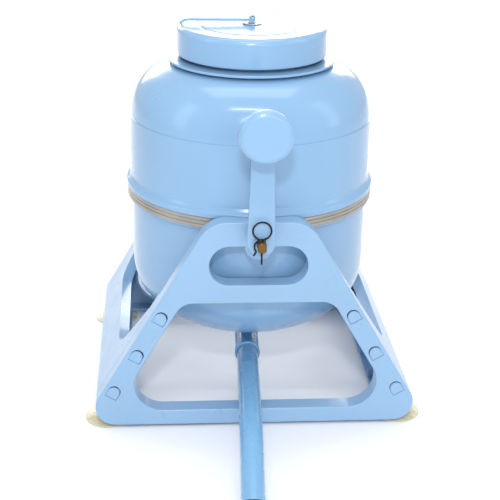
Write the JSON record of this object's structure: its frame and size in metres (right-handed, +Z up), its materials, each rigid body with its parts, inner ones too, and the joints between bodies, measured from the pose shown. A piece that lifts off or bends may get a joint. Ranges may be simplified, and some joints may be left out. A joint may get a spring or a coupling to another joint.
{
  "type": "hand-cranked tumbling washer",
  "caption": "Countertop washing drum with a clamped lid, hung between A-shaped plastic frames and turned by a crank, with a drain tube below and suction-cup feet.",
  "frame": {"origin": "on the tabletop under the four suction cups, in the middle of the whole part's footprint", "axes": "+Z up, +X to the right when facing the crank, the crank and the drain tube on the -Y side, the drum's axle along Y"},
  "size_m": [0.3752, 0.5038, 0.4236],
  "materials": {
    "stand_plastic": "glossy moulded",
    "drum_plastic": "glossy moulded",
    "drain_plastic": "satin moulded",
    "band_steel": "rolled",
    "axle_brass": "turned",
    "small_steel": "zinc plated",
    "clip_wire": "blackened wire",
    "white_nylon": "satin",
    "seal_rubber": "matte",
    "cup_vinyl": "soft and waxy"
  },
  "bodies": {
    "stand": {"front_frame": "stand_plastic", "rear_frame": "stand_plastic", "left_side_panel": "stand_plastic", "right_side_panel": "stand_plastic", "suction_cup_front_left": "cup_vinyl", "suction_cup_front_right": "cup_vinyl", "suction_cup_rear_left": "cup_vinyl", "suction_cup_rear_right": "cup_vinyl", "front_bearing": "white_nylon", "rear_bearing": "white_nylon"},
    "drum": {"upper_drum_shell": "drum_plastic", "lower_drum_shell": "drum_plastic", "seam_gasket": "seal_rubber", "seam_band": "band_steel", "front_axle": "axle_brass", "rear_axle": "axle_brass", "axle_rivet_front_left": "small_steel", "axle_rivet_front_right": "small_steel", "axle_rivet_rear_left": "small_steel", "axle_rivet_rear_right": "small_steel", "front_washer": "small_steel", "rear_washer": "small_steel", "rear_retaining_ring": "small_steel", "crank_arm": "drum_plastic", "knob_pin": "small_steel", "drain_body": "drain_plastic", "drain_gasket": "seal_rubber", "drain_nut": "white_nylon", "drain_strainer": "white_nylon", "valve_cap": "drain_plastic", "valve_spring": "small_steel"},
    "knob": {"crank_knob": "drum_plastic"},
    "clip": {"crank_clip": "clip_wire"},
    "lid": {"lid_cap": "drum_plastic", "lid_gasket": "seal_rubber", "cam_washer": "small_steel"},
    "clamp": {"clamp_plate": "drum_plastic", "clamp_stud": "small_steel", "stud_nut": "small_steel", "lever_pin": "small_steel"},
    "lever": {"lid_lever": "drum_plastic"},
    "tube": {"drain_tube": "drain_plastic", "tube_oring": "seal_rubber"},
    "plunger": {"valve_plunger": "white_nylon", "valve_seal": "seal_rubber"}
  },
  "joints": [
    {"name": "drum_turn", "type": "hinge", "parent": "stand", "child": "drum", "pos_m": [0, 0.08395, 0.225], "axis": [0, 1, 0], "range_deg": [-30, 30]},
    {"name": "knob_spin", "type": "hinge", "parent": "drum", "child": "knob", "pos_m": [0, -0.11106, 0.347], "axis": [0, 1, 0], "continuous": true},
    {"name": "clip_pull", "type": "slide", "parent": "drum", "child": "clip", "axis": [0, 0, 1], "range_m": [0, 0.03]},
    {"name": "lid_lift", "type": "slide", "parent": "drum", "child": "lid", "axis": [0, 0, 1], "range_m": [0, 0.06]},
    {"name": "clamp_drop", "type": "slide", "parent": "lid", "child": "clamp", "axis": [0, 0, 1], "range_m": [-0.0024, 0]},
    {"name": "lever_turn", "type": "hinge", "parent": "clamp", "child": "lever", "pos_m": [0, 0.08395, 0.42], "axis": [0, 1, 0], "range_deg": [0, 90]},
    {"name": "tube_pull", "type": "slide", "parent": "drum", "child": "tube", "axis": [-0.0454, -0.999, 0], "range_m": [0, 0.05]},
    {"name": "valve_push", "type": "slide", "parent": "drum", "child": "plunger", "axis": [0.0454, 0.999, 0], "range_m": [0, 0.006], "stiffness_N_per_m": 400, "springref_m": -0.003, "deforming": ["valve_spring"]}
  ],
  "couplings": [
    {"joint": "clamp_drop", "follows": "lever_turn", "m_per_rad": -0.001526}
  ]
}
